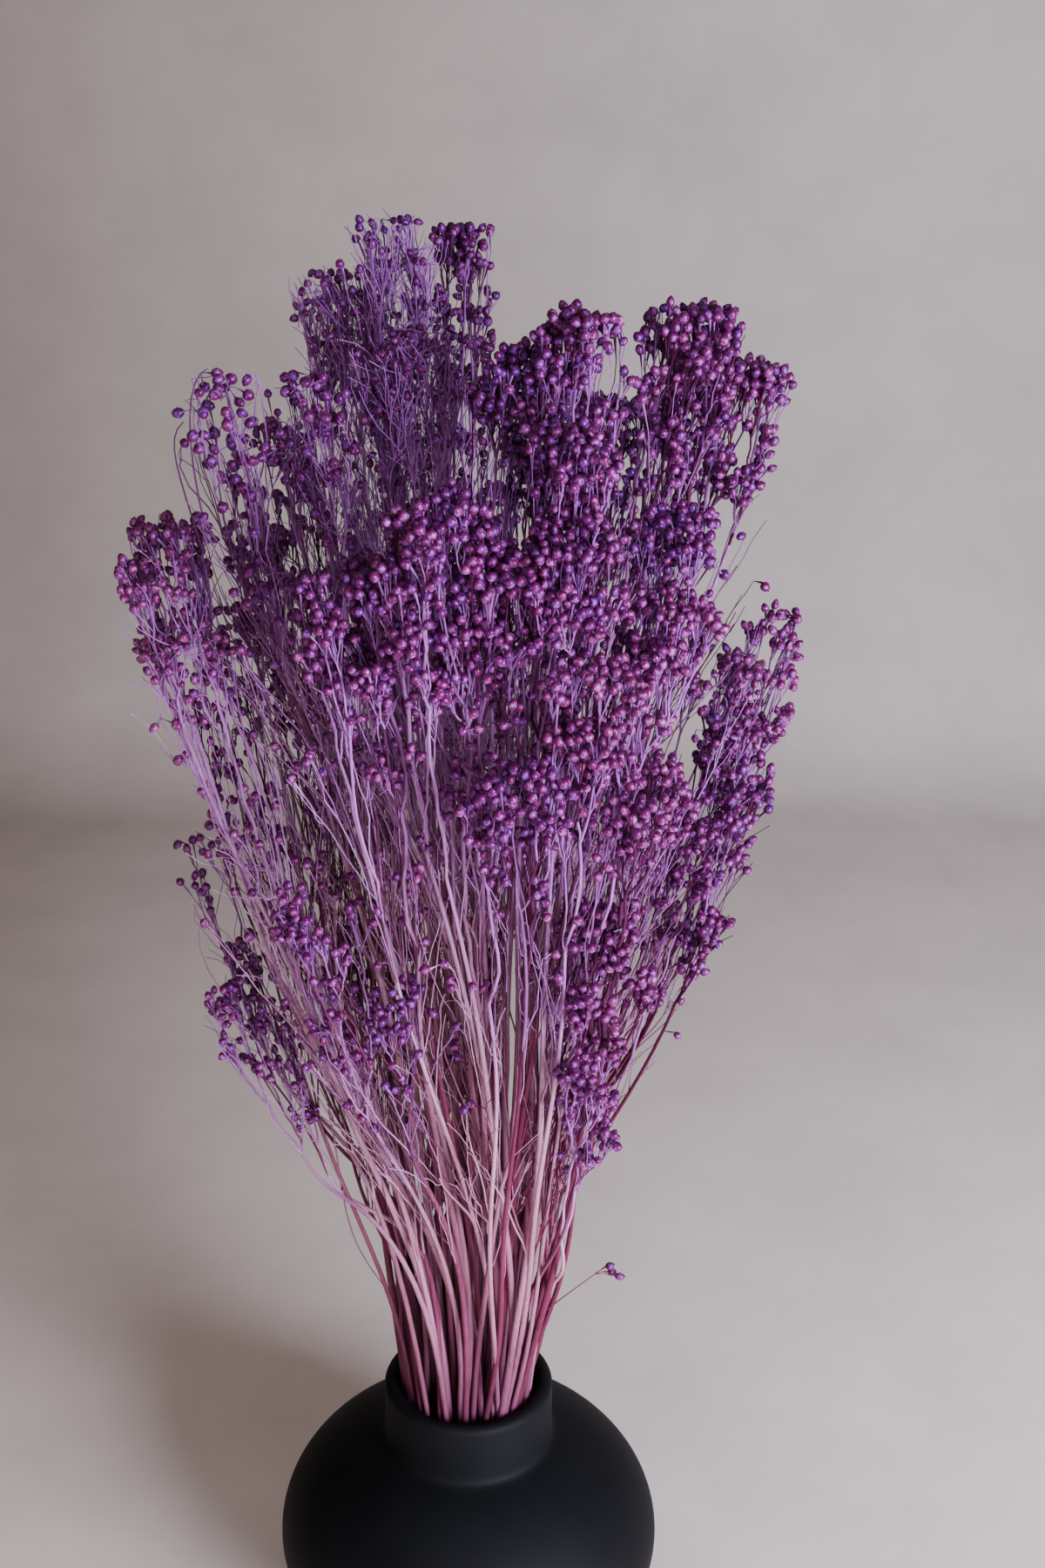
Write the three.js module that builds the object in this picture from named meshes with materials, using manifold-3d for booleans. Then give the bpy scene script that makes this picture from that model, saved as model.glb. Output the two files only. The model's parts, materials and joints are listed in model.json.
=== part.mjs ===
// Dried broom bloom: a bunch of dyed, finely branched sprays that carry bead-like seed pods,
// standing in a round matt vase with a short neck.
// Millimetres, +Z up, origin at the middle of the vase's foot; +Y is the back of the bunch.

import * as THREE from 'three';
import { mergeVertices } from 'three/addons/utils/BufferGeometryUtils.js';
import Module from 'manifold-3d';

const wasm = await Module();
wasm.setup();

// The vase
const BODY_RADIUS = 55;
const BODY_RISE = 38.5; // upright half-axis of the body's oval
const FOOT_RADIUS = 30;
const NECK_RADIUS = 24;
const VASE_HEIGHT = 85.5;
const WALL = 4.5;
const FLOOR_THICKNESS = 5;
const SHOULDER_FILLET = 4;
const VASE_SIDES = 28;

// The stems
const STEM_FOOT_RADIUS = 1.2;
const STEM_TIP_RADIUS = 0.6;
const STEM_SIDES = 4;
const STEM_STEPS = 6;
const SEAT_GAP = 0.3; // between a stem's cut end and the vase's floor
const LIP_GAP = 0.5; // between the outer stems and the lip that they lean on
const FOOT_SPREAD = 0.6; // a stem's place on the floor, as a share of its place in the neck
const CLIMB = 0.3; // how far a stem keeps its first direction above the neck, as a share of its reach
const LEFT_CLIMB = 0.15; // added for a head that stands LEFT_REACH or more to the left
const LEFT_REACH = 60;
const LOW_CLIMB = 0.25; // added for a head that is lower than LOW_TOP, and doubled to the left
const LOW_TOP = 260;
const NECK_TWIST = 1; // radians from a head's bearing to its stem's place, as in a hand-tied bunch
const RING_SHARES = [1, 0.71, 0.42, 0.15]; // radii of the rings of stems in the neck
const RING_COUNTS = [19, 13, 8];

// Twigs and seed pods
const TWIG_RADIUS = 0.5;
const TWIG_SIDES = 4;
const POD_RADIUS = 1.5;
const POD_OFFSET = 1.2; // a pod's place beside its twig's line
const POD_SPACING = 3.3; // from one pod to the next down a twig
const PODS_A_TWIG = 4;
const CLEARANCE = 0.35; // between one spray and the next
const TRIES = 24;
const SMALLEST_DETAIL = 0.08;
const GOLDEN_ANGLE = Math.PI * (3 - Math.sqrt(5));

// One row for each spray: the top of its head [x, y, z], the head's length down the stem,
// its width, and how many twigs of pods it carries.
const SPRAYS = [
  { top: [-2, 58, 400], fall: 55, width: 17, twigs: 5 },
  { top: [-19, 34, 407], fall: 44, width: 20, twigs: 3 },
  { top: [-33, 45, 391], fall: 38, width: 19, twigs: 3 },
  { top: [-14, 6, 384], fall: 40, width: 26, twigs: 5 },
  { top: [-56, -20, 379], fall: 38, width: 18, twigs: 3 },
  { top: [-38, -15, 378], fall: 40, width: 20, twigs: 3 },
  { top: [-75, -10, 341], fall: 40, width: 30, twigs: 5 },
  { top: [-54, 20, 330], fall: 34, width: 20, twigs: 3 },
  { top: [-74, 28, 244], fall: 40, width: 17, twigs: 3 },
  { top: [-62, 4, 213], fall: 32, width: 22, twigs: 3 },
  { top: [-39, -35, 262], fall: 45, width: 22, twigs: 4 },
  { top: [-18, -50, 240], fall: 22, width: 13, twigs: 2 },
  { top: [12, -24, 387], fall: 54, width: 20, twigs: 4 },
  { top: [25, -30, 395], fall: 50, width: 23, twigs: 5 },
  { top: [51, -15, 394], fall: 42, width: 23, twigs: 5 },
  { top: [67, 0, 378], fall: 42, width: 18, twigs: 4 },
  { top: [46, -40, 354], fall: 26, width: 17, twigs: 3 },
  { top: [-26, -60, 347], fall: 40, width: 24, twigs: 5 },
  { top: [-8, -70, 365], fall: 48, width: 26, twigs: 5 },
  { top: [7, -68, 352], fall: 34, width: 20, twigs: 4 },
  { top: [22, -68, 356], fall: 32, width: 24, twigs: 5 },
  { top: [44, -55, 338], fall: 28, width: 23, twigs: 4 },
  { top: [28, -75, 330], fall: 30, width: 26, twigs: 5 },
  { top: [33, -70, 307], fall: 26, width: 29, twigs: 4 },
  { top: [11, -78, 308], fall: 28, width: 24, twigs: 4 },
  { top: [80, 0, 316], fall: 38, width: 22, twigs: 4 },
  { top: [68, -15, 293], fall: 32, width: 22, twigs: 4 },
  { top: [63, -25, 274], fall: 40, width: 22, twigs: 4 },
  { top: [73, 50, 288], fall: 30, width: 22, twigs: 3 },
  { top: [44, -50, 292], fall: 22, width: 22, twigs: 3 },
  { top: [32, -60, 264], fall: 38, width: 25, twigs: 4 },
  { top: [31, -60, 228], fall: 34, width: 19, twigs: 3 },
  { top: [22, -52, 374], fall: 34, width: 20, twigs: 4 },
  { top: [35, 52, 358], fall: 52, width: 26, twigs: 5 },
  { top: [57, 35, 368], fall: 48, width: 24, twigs: 4 },
  { top: [-52, 52, 352], fall: 66, width: 26, twigs: 4 },
  { top: [10, 82, 350], fall: 76, width: 28, twigs: 5 },
  { top: [45, 70, 330], fall: 66, width: 26, twigs: 4 },
  { top: [-25, 78, 330], fall: 72, width: 28, twigs: 4 },
  { top: [-68, 40, 300], fall: 60, width: 24, twigs: 4 },
  { top: [20, 72, 268], fall: 60, width: 26, twigs: 4 },
  { top: [-35, 62, 262], fall: 62, width: 26, twigs: 4 },
  { top: [54, 56, 242], fall: 56, width: 24, twigs: 3 },
];

const vaseMaterial = new THREE.MeshStandardMaterial({ color: 0x17191b, roughness: 0.75, metalness: 0 });
const sprayMaterial = new THREE.MeshStandardMaterial({ color: 0x7a3f94, roughness: 0.6, metalness: 0 });

// A closed geometry as a solid that can be joined.
function solidOf(geometry) {
  const bare = geometry.clone();
  bare.deleteAttribute('normal');
  bare.deleteAttribute('uv');
  const merged = mergeVertices(bare, 1e-4);
  return new wasm.Manifold(new wasm.Mesh({
    numProp: 3,
    vertProperties: new Float32Array(merged.attributes.position.array),
    triVerts: new Uint32Array(merged.index.array),
  }));
}

// The largest body of a solid as a geometry; slivers are smoothed out and a loose scrap is dropped.
function geometryOf(solid) {
  const bodies = solid.asOriginal().simplify(SMALLEST_DETAIL).decompose();
  const body = bodies.sort((a, b) => b.volume() - a.volume())[0];
  const mesh = body.getMesh();
  return new THREE.BufferGeometry()
    .setAttribute('position', new THREE.BufferAttribute(new Float32Array(mesh.vertProperties), 3))
    .setIndex(new THREE.BufferAttribute(new Uint32Array(mesh.triVerts), 1));
}

// A repeatable stream of numbers from 0 to 1.
function randomStream(seed) {
  let state = seed;
  return () => {
    state = (state + 0x6d2b79f5) | 0;
    let t = Math.imul(state ^ (state >>> 15), 1 | state);
    t = (t + Math.imul(t ^ (t >>> 7), 61 | t)) ^ t;
    return ((t ^ (t >>> 14)) >>> 0) / 4294967296;
  };
}

// A cylinder bent along a curve, with a radius that runs from one end to the other.
function bentCylinder(curve, startRadius, endRadius, sides, steps) {
  const geometry = new THREE.CylinderGeometry(1, 1, 1, sides, steps);
  const frames = curve.computeFrenetFrames(steps, false);
  const position = geometry.attributes.position;
  for (let i = 0; i < position.count; i += 1) {
    const along = position.getY(i) + 0.5;
    const step = Math.round(along * steps);
    const radius = THREE.MathUtils.lerp(startRadius, endRadius, along);
    const point = curve.getPoint(along)
      .addScaledVector(frames.binormals[step], position.getX(i) * radius)
      .addScaledVector(frames.normals[step], position.getZ(i) * radius);
    position.setXYZ(i, point.x, point.y, point.z);
  }
  return geometry;
}

// Half the body's oval: the points at which its radius runs from one value to another.
function ovalPoints(radius, rise, centreHeight, fromAngle, toAngle, count) {
  return Array.from({ length: count + 1 }, (_, i) => {
    const angle = THREE.MathUtils.lerp(fromAngle, toAngle, i / count);
    return new THREE.Vector2(radius * Math.cos(angle), centreHeight + rise * Math.sin(angle));
  });
}

function makeVase() {
  const centreHeight = BODY_RISE * Math.sqrt(1 - (FOOT_RADIUS / BODY_RADIUS) ** 2);
  const heightAt = (radius) => centreHeight + BODY_RISE * Math.sqrt(1 - (radius / BODY_RADIUS) ** 2);
  const filletStart = NECK_RADIUS + SHOULDER_FILLET;
  const outside = ovalPoints(BODY_RADIUS, BODY_RISE, centreHeight,
    -Math.acos(FOOT_RADIUS / BODY_RADIUS), Math.acos(filletStart / BODY_RADIUS), 8);
  const fillet = new THREE.QuadraticBezierCurve(
    new THREE.Vector2(filletStart, heightAt(filletStart)),
    new THREE.Vector2(NECK_RADIUS, heightAt(NECK_RADIUS)),
    new THREE.Vector2(NECK_RADIUS, heightAt(NECK_RADIUS) + SHOULDER_FILLET),
  ).getPoints(2).slice(1);
  const lip = Array.from({ length: 5 }, (_, i) => {
    const angle = Math.PI * i / 4;
    return new THREE.Vector2(
      NECK_RADIUS - WALL / 2 + (WALL / 2) * Math.cos(angle),
      VASE_HEIGHT - WALL / 2 + (WALL / 2) * Math.sin(angle),
    );
  });
  const innerRadius = BODY_RADIUS - WALL;
  const innerRise = BODY_RISE - WALL;
  const floorAngle = Math.asin((FLOOR_THICKNESS - centreHeight) / innerRise);
  const inside = ovalPoints(innerRadius, innerRise, centreHeight,
    Math.acos((NECK_RADIUS - WALL) / innerRadius), floorAngle, 5);
  const profile = [
    new THREE.Vector2(0, 0),
    ...outside,
    ...fillet,
    ...lip,
    ...inside,
    new THREE.Vector2(0, FLOOR_THICKNESS),
  ];
  const geometry = new THREE.LatheGeometry(profile, VASE_SIDES).rotateX(Math.PI / 2);
  const mesh = new THREE.Mesh(geometryOf(solidOf(geometry)), vaseMaterial);
  mesh.name = 'vase';
  return mesh;
}

// Each stem's place in the neck: the more a spray leans, the further out its ring,
// and round each ring the stems keep the order of the heads above them.
function placesInNeck() {
  const ringRadius = NECK_RADIUS - WALL - LIP_GAP - STEM_FOOT_RADIUS;
  const lean = ({ top: [x, y, z] }) => Math.hypot(x, y) / (z - VASE_HEIGHT);
  const bearing = (i) => Math.atan2(SPRAYS[i].top[1], SPRAYS[i].top[0]);
  const byLean = SPRAYS.map((_, i) => i).sort((a, b) => lean(SPRAYS[b]) - lean(SPRAYS[a]));
  const places = [];
  RING_SHARES.forEach((share, ring) => {
    const members = byLean.splice(0, RING_COUNTS[ring] ?? byLean.length);
    members.sort((a, b) => bearing(a) - bearing(b));
    const turn = (k) => (2 * Math.PI * k) / members.length;
    const drift = members.reduce((sum, i, k) => sum + bearing(i) - turn(k), 0) / members.length;
    members.forEach((i, k) => {
      const radius = share * ringRadius;
      const angle = turn(k) + drift + NECK_TWIST;
      places[i] = [radius * Math.cos(angle), radius * Math.sin(angle)];
    });
  });
  return places;
}

function climbOf([x, , z]) {
  const left = THREE.MathUtils.clamp(-x / LEFT_REACH, 0, 1);
  return CLIMB + LEFT_CLIMB * left + (z < LOW_TOP ? LOW_CLIMB * (1 + left) : 0);
}

// A stem's line: up from the vase's floor, through the neck, and out to where its head begins.
function stemLine(spray, place) {
  const top = new THREE.Vector3(...spray.top);
  const neck = new THREE.Vector3(place[0], place[1], VASE_HEIGHT);
  const chord = top.clone().sub(neck);
  const headAxis = chord.clone().normalize().add(new THREE.Vector3(0, 0, 0.25)).normalize();
  const fork = top.clone().addScaledVector(headAxis, -spray.fall);
  const foot = new THREE.Vector3(place[0] * FOOT_SPREAD, place[1] * FOOT_SPREAD, FLOOR_THICKNESS + SEAT_GAP);
  const rise = neck.clone().sub(foot).normalize();
  const reach = fork.distanceTo(neck);
  const climb = climbOf(spray.top);
  const upper = new THREE.CubicBezierCurve3(
    neck,
    neck.clone().addScaledVector(rise, reach * climb),
    fork.clone().addScaledVector(headAxis, -reach * CLIMB),
    fork,
  ).getPoints(6);
  const leader = fork.clone().addScaledVector(headAxis, spray.fall * 0.5);
  return { line: new THREE.CatmullRomCurve3([foot, ...upper, leader]), fork, headAxis, top };
}

// The shortest distance between two straight pieces.
function gapBetween(a, b) {
  const u = a.end.clone().sub(a.start);
  const v = b.end.clone().sub(b.start);
  const w = a.start.clone().sub(b.start);
  const uu = Math.max(u.dot(u), 1e-9);
  const vv = Math.max(v.dot(v), 1e-9);
  const uv = u.dot(v);
  const bend = uu * vv - uv * uv;
  let s = bend > 1e-9 ? THREE.MathUtils.clamp((uv * v.dot(w) - vv * u.dot(w)) / bend, 0, 1) : 0;
  const t = THREE.MathUtils.clamp((uv * s + v.dot(w)) / vv, 0, 1);
  s = THREE.MathUtils.clamp((uv * t - u.dot(w)) / uu, 0, 1);
  const between = w.addScaledVector(u, s).addScaledVector(v, -t);
  return between.length() - a.radius - b.radius;
}

const group = new THREE.Group();
group.add(makeVase());

const places = placesInNeck();
const stems = SPRAYS.map((spray, i) => stemLine(spray, places[i]));
const taken = []; // straight pieces of everything that is in place, with the spray that owns them

function take(points, radius, owner) {
  for (let i = 1; i < points.length; i += 1) {
    taken.push({ start: points[i - 1], end: points[i], radius, owner });
  }
}

stems.forEach(({ line }, i) => take(line.getPoints(STEM_STEPS * 2), STEM_FOOT_RADIUS, i));

function isClear(pieces, owner) {
  return pieces.every((piece) => taken.every((other) => other.owner === owner
    || gapBetween(piece, other) > CLEARANCE));
}

// A twig's line from the stem to the tip of its cluster, with the places of its pods,
// which sit round and down its outer end, the topmost first.
function planTwig(stem, spray, index, random) {
  const { line, fork, headAxis } = stem;
  const side = new THREE.Vector3(1, 0, 0).cross(headAxis).normalize();
  const across = headAxis.clone().cross(side);
  const share = index / spray.twigs;
  const angle = index * GOLDEN_ANGLE + random() * 1.4;
  const height = spray.fall * (1 - 0.62 * share - 0.1 * random() * Math.sign(index));
  const spread = (spray.width / 2 - POD_RADIUS) * (index === 0 ? 0.2 : 0.7 + 0.3 * random());
  const outward = side.clone().multiplyScalar(Math.cos(angle)).addScaledVector(across, Math.sin(angle));
  const tip = fork.clone().addScaledVector(headAxis, height).addScaledVector(outward, spread);
  const start = line.getPoint(THREE.MathUtils.lerp(0.97, 0.84, share));
  const upward = tip.clone().sub(start).normalize();
  const lateral = outward.clone().cross(upward).normalize();
  const beside = lateral.clone().cross(upward);
  const pods = Array.from({ length: PODS_A_TWIG }, (_, k) => {
    const turn = k * GOLDEN_ANGLE + angle;
    return tip.clone()
      .addScaledVector(upward, -POD_RADIUS - POD_SPACING * k)
      .addScaledVector(beside, POD_OFFSET * Math.cos(turn))
      .addScaledVector(lateral, POD_OFFSET * Math.sin(turn));
  });
  const pieces = [
    { start, end: tip, radius: TWIG_RADIUS },
    ...pods.map((pod) => ({ start: pod, end: pod, radius: POD_RADIUS })),
  ];
  return { start, tip, beside, lateral, upward, pods, pieces };
}

// The twig as one slim cone that swells to each pod and narrows again before the next.
function makeTwig({ start, tip, beside, lateral, upward, pods }) {
  const rings = [{ centre: start, radius: TWIG_RADIUS }];
  [...pods].reverse().forEach((pod, i) => {
    const below = tip.clone().addScaledVector(upward, -(pods.length - i) * POD_SPACING);
    rings.push({ centre: below, radius: TWIG_RADIUS }, { centre: pod, radius: POD_RADIUS });
  });
  rings.push({ centre: tip, radius: 0 });
  const geometry = new THREE.ConeGeometry(1, 1, TWIG_SIDES, rings.length - 1);
  const position = geometry.attributes.position;
  for (let i = 0; i < position.count; i += 1) {
    const ring = rings[Math.round((position.getY(i) + 0.5) * (rings.length - 1))];
    const reach = Math.hypot(position.getX(i), position.getZ(i));
    const radius = reach > 1e-6 ? ring.radius / reach : 0;
    const point = ring.centre.clone()
      .addScaledVector(lateral, position.getX(i) * radius)
      .addScaledVector(beside, position.getZ(i) * radius);
    position.setXYZ(i, point.x, point.y, point.z);
  }
  return solidOf(geometry);
}

function makeSpray(spray, i) {
  const random = randomStream(101 + i);
  const stem = stems[i];
  const solids = [solidOf(bentCylinder(stem.line, STEM_FOOT_RADIUS, STEM_TIP_RADIUS, STEM_SIDES, STEM_STEPS))];
  for (let k = 0; k < spray.twigs; k += 1) {
    for (let attempt = 0; attempt < TRIES; attempt += 1) {
      const twig = planTwig(stem, spray, k, random);
      if (isClear(twig.pieces, i)) {
        twig.pieces.forEach((piece) => taken.push({ ...piece, owner: i }));
        solids.push(makeTwig(twig));
        break;
      }
    }
  }
  const mesh = new THREE.Mesh(geometryOf(wasm.Manifold.union(solids)), sprayMaterial);
  mesh.name = `spray_${String(i + 1).padStart(2, '0')}`;
  return mesh;
}

SPRAYS.forEach((spray, i) => group.add(makeSpray(spray, i)));

export default group;
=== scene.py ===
import json
import math
import random
from itertools import product

import bmesh
import bpy
from mathutils import Matrix, Vector
from mathutils.geometry import interpolate_bezier

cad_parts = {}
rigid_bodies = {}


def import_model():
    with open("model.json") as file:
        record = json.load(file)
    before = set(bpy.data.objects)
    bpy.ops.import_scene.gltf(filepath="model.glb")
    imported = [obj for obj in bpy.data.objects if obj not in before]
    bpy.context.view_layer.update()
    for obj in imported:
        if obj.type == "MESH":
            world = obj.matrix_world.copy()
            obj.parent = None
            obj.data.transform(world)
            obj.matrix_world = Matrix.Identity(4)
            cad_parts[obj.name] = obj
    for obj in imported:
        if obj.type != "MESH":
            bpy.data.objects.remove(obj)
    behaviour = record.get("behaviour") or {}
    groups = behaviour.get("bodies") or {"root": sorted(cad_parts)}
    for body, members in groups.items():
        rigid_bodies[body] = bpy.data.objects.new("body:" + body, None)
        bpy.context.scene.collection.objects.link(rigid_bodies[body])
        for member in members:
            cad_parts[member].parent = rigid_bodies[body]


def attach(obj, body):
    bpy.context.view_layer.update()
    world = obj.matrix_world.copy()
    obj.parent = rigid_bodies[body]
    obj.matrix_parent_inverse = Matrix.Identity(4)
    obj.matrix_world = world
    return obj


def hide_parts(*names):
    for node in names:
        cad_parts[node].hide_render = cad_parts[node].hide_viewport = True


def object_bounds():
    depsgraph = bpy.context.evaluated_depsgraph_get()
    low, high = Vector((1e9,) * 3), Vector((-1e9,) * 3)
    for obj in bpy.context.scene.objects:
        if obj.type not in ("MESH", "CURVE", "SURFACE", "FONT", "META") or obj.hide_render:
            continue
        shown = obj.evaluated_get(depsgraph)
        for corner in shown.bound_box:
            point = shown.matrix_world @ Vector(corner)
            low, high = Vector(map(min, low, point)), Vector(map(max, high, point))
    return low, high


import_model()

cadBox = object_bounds()
mm = 0.001
fullTurn = 6.283  # radians, for a side drawn at random


# Colours, nodes and meshes

def linear(hexColour):
    channels = [int(hexColour[i:i + 2], 16) / 255 for i in (1, 3, 5)]
    return [c / 12.92 if c <= 0.04045 else ((c + 0.055) / 1.055) ** 2.4 for c in channels] + [1]


def addNode(material, kind, links=None, stops=None, **settings):
    tree = material.node_tree
    node = tree.nodes.new(kind)
    for name, value in settings.items():
        setattr(node, name, value)
    for name, value in (links or {}).items():
        socket = node.inputs[name]
        if isinstance(value, bpy.types.NodeSocket):
            tree.links.new(value, socket)
        else:
            socket.default_value = value
    if stops:  # a colour ramp's stops, as (place, colour)
        elements = node.color_ramp.elements
        while len(elements) < len(stops):
            elements.new(0.5)
        for element, (place, colour) in zip(elements, stops):
            element.position = place
            element.color = linear(colour) if isinstance(colour, str) else [colour] * 3 + [1]
    return node


def newMaterial(name):
    material = bpy.data.materials.new(name)
    material.use_nodes = True
    material.node_tree.nodes.clear()
    return material


def finishMaterial(material, **shader):
    surface = addNode(material, "ShaderNodeBsdfPrincipled", shader)
    addNode(material, "ShaderNodeOutputMaterial", {"Surface": surface.outputs["BSDF"]})
    return material


def newObject(name, mesh, material):
    mesh.materials.append(material)
    for polygon in mesh.polygons:
        polygon.use_smooth = True
    piece = bpy.data.objects.new(name, mesh)
    bpy.context.scene.collection.objects.link(piece)
    return piece


# Materials

def dyedSeedPod():
    # dried seed capsules steeped in dye: satin skin that takes the dye unevenly, so that each pod
    # is violet at its foot, paler and dusty round its middle, where a painted highlight also lies,
    # and rosier at its tip
    look = {"patch": 0.9 * mm, "grain": 0.22 * mm}  # the skin's wrinkles are drawn coarse enough to show
    material = newMaterial("dyedSeedPod")
    tone = addNode(material, "ShaderNodeAttribute", attribute_name="podTone")
    rise = addNode(material, "ShaderNodeAttribute", attribute_name="podRise")
    place = addNode(material, "ShaderNodeTexCoord")
    patches = addNode(material, "ShaderNodeTexNoise", {
        "Vector": place.outputs["Object"], "Scale": 1 / look["patch"], "Detail": 3, "Roughness": 0.6})
    violet = addNode(material, "ShaderNodeValToRGB", {"Fac": tone.outputs["Fac"]}, stops=[
        (0.0, "#34043a"), (0.3, "#420438"), (0.6, "#520636"), (0.85, "#5a083e"), (0.965, "#681648"),
        (0.985, "#5a3418")])
    dustyAndHighlight = addNode(material, "ShaderNodeValToRGB", {"Fac": tone.outputs["Fac"]}, stops=[
        (0.0, "#7c3eae"), (0.4, "#924eb4"), (0.75, "#a862bc"), (0.95, "#b876bc"), (1.0, "#8a6040")])
    # painted highlight: a band round each pod's middle takes the paler dusty colour, on top of the dye's own
    # patches
    middle = addNode(material, "ShaderNodeValToRGB", {"Fac": rise.outputs["Fac"]}, stops=[
        (0.05, 0.0), (0.45, 0.75), (0.68, 0.85), (0.92, 0.1)])
    bloom = addNode(material, "ShaderNodeMapRange", {
        "Value": patches.outputs["Fac"], "From Min": 0.44, "From Max": 0.66})
    share = addNode(material, "ShaderNodeMath", {0: middle.outputs["Color"], 1: bloom.outputs["Result"]},
                    operation="MULTIPLY")
    body = addNode(material, "ShaderNodeMix", {
        "Factor": share.outputs["Value"], "A": violet.outputs["Color"], "B": dustyAndHighlight.outputs["Color"]},
        data_type="RGBA")
    tipShare = addNode(material, "ShaderNodeValToRGB", {"Fac": rise.outputs["Fac"]}, stops=[
        (0.72, 0.0), (0.94, 0.7)])
    colour = addNode(material, "ShaderNodeMix", {
        "Factor": tipShare.outputs["Color"], "A": body.outputs["Result"], "B": linear("#520640")},
        data_type="RGBA")
    grain = addNode(material, "ShaderNodeTexNoise", {
        "Vector": place.outputs["Object"], "Scale": 1 / look["grain"], "Detail": 2})
    bump = addNode(material, "ShaderNodeBump", {
        "Height": grain.outputs["Fac"], "Strength": 0.25, "Distance": 0.08 * mm})
    rough = addNode(material, "ShaderNodeMapRange", {
        "Value": patches.outputs["Fac"], "To Min": 0.27, "To Max": 0.4})
    return finishMaterial(material, **{
        "Base Color": colour.outputs["Result"], "Roughness": rough.outputs["Result"],
        "Normal": bump.outputs["Normal"], "Specular IOR Level": 0.95,
        "Specular Tint": linear("#d48cee"),
        "Sheen Weight": 0.02, "Sheen Roughness": 0.4, "Sheen Tint": linear("#e6c8ea")})


def dyedStem():
    # dried straw-like stems dipped head first in dye: lavender at the tips, pale pinkish straw
    # where the dye runs thin, and a deep rose where it has run down and gathered at the neck; the
    # deepest stems darken into the heads as painted shade
    look = {"fibreWidth": 0.5 * mm, "fibreLength": 12 * mm, "wander": 35 * mm}
    material = newMaterial("dyedStem")
    tone = addNode(material, "ShaderNodeAttribute", attribute_name="stemTone")
    place = addNode(material, "ShaderNodeTexCoord")
    rise = addNode(material, "ShaderNodeAttribute", attribute_name="stemRise")
    wander = addNode(material, "ShaderNodeTexNoise", {
        "Vector": place.outputs["Object"], "Scale": 1 / look["wander"], "Detail": 2})
    shift = addNode(material, "ShaderNodeMath", {0: wander.outputs["Fac"], 1: -0.5}, operation="ADD")
    level = addNode(material, "ShaderNodeMath", {
        0: shift.outputs["Value"], 1: 0.3, 2: rise.outputs["Fac"]}, operation="MULTIPLY_ADD")
    # painted shade: the deep tone darkens towards the heads, for the shaded inside of the bunch
    deepAndShaded = addNode(material, "ShaderNodeValToRGB", {"Fac": level.outputs["Value"]}, stops=[
        (0.0, "#461634"), (0.12, "#5e263a"), (0.3, "#702646"), (0.5, "#64183c"), (0.72, "#480a32"),
        (0.95, "#3e0630")])
    pale = addNode(material, "ShaderNodeValToRGB", {"Fac": level.outputs["Value"]}, stops=[
        (0.0, "#6c3858"), (0.12, "#88526c"), (0.3, "#c68aa4"), (0.5, "#d2a0ba"), (0.72, "#b87cbe"),
        (0.95, "#a864ba")])
    colour = addNode(material, "ShaderNodeMix", {
        "Factor": tone.outputs["Fac"], "A": deepAndShaded.outputs["Color"], "B": pale.outputs["Color"]},
        data_type="RGBA")
    stretch = addNode(material, "ShaderNodeMapping", {
        "Vector": place.outputs["Object"],
        "Scale": (1 / look["fibreWidth"], 1 / look["fibreWidth"], 1 / look["fibreLength"])})
    fibre = addNode(material, "ShaderNodeTexNoise", {
        "Vector": stretch.outputs["Vector"], "Scale": 1, "Detail": 3})
    streak = addNode(material, "ShaderNodeValToRGB", {"Fac": fibre.outputs["Fac"]}, stops=[
        (0.3, 0.72), (0.7, 1.12)])
    streaked = addNode(material, "ShaderNodeMix", {
        "Factor": 1, "A": colour.outputs["Result"], "B": streak.outputs["Color"]},
        data_type="RGBA", blend_type="MULTIPLY")
    bump = addNode(material, "ShaderNodeBump", {
        "Height": fibre.outputs["Fac"], "Strength": 0.4, "Distance": 0.1 * mm})
    return finishMaterial(material, **{
        "Base Color": streaked.outputs["Result"], "Roughness": 0.62, "Normal": bump.outputs["Normal"],
        "Specular IOR Level": 0.14,
        "Sheen Weight": 0.02, "Sheen Roughness": 0.5, "Sheen Tint": linear("#e2cfe6")})


def matteStoneware():
    # slip-cast stoneware under a dry black glaze: a fine eggshell grain that spreads the light
    # into one broad, cool, soft highlight
    look = {"grain": 0.35 * mm, "cloud": 14 * mm}
    material = newMaterial("matteStoneware")
    place = addNode(material, "ShaderNodeTexCoord")
    cloud = addNode(material, "ShaderNodeTexNoise", {
        "Vector": place.outputs["Object"], "Scale": 1 / look["cloud"], "Detail": 3})
    colour = addNode(material, "ShaderNodeValToRGB", {"Fac": cloud.outputs["Fac"]}, stops=[
        (0.3, "#040609"), (0.7, "#070a0d")])
    grain = addNode(material, "ShaderNodeTexNoise", {
        "Vector": place.outputs["Object"], "Scale": 1 / look["grain"], "Detail": 2})
    bump = addNode(material, "ShaderNodeBump", {
        "Height": grain.outputs["Fac"], "Strength": 0.18, "Distance": 0.06 * mm})
    rough = addNode(material, "ShaderNodeMapRange", {
        "Value": cloud.outputs["Fac"], "To Min": 0.6, "To Max": 0.72})
    return finishMaterial(material, **{
        "Base Color": colour.outputs["Color"], "Roughness": rough.outputs["Result"],
        "Normal": bump.outputs["Normal"], "Specular IOR Level": 0.14})


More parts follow.
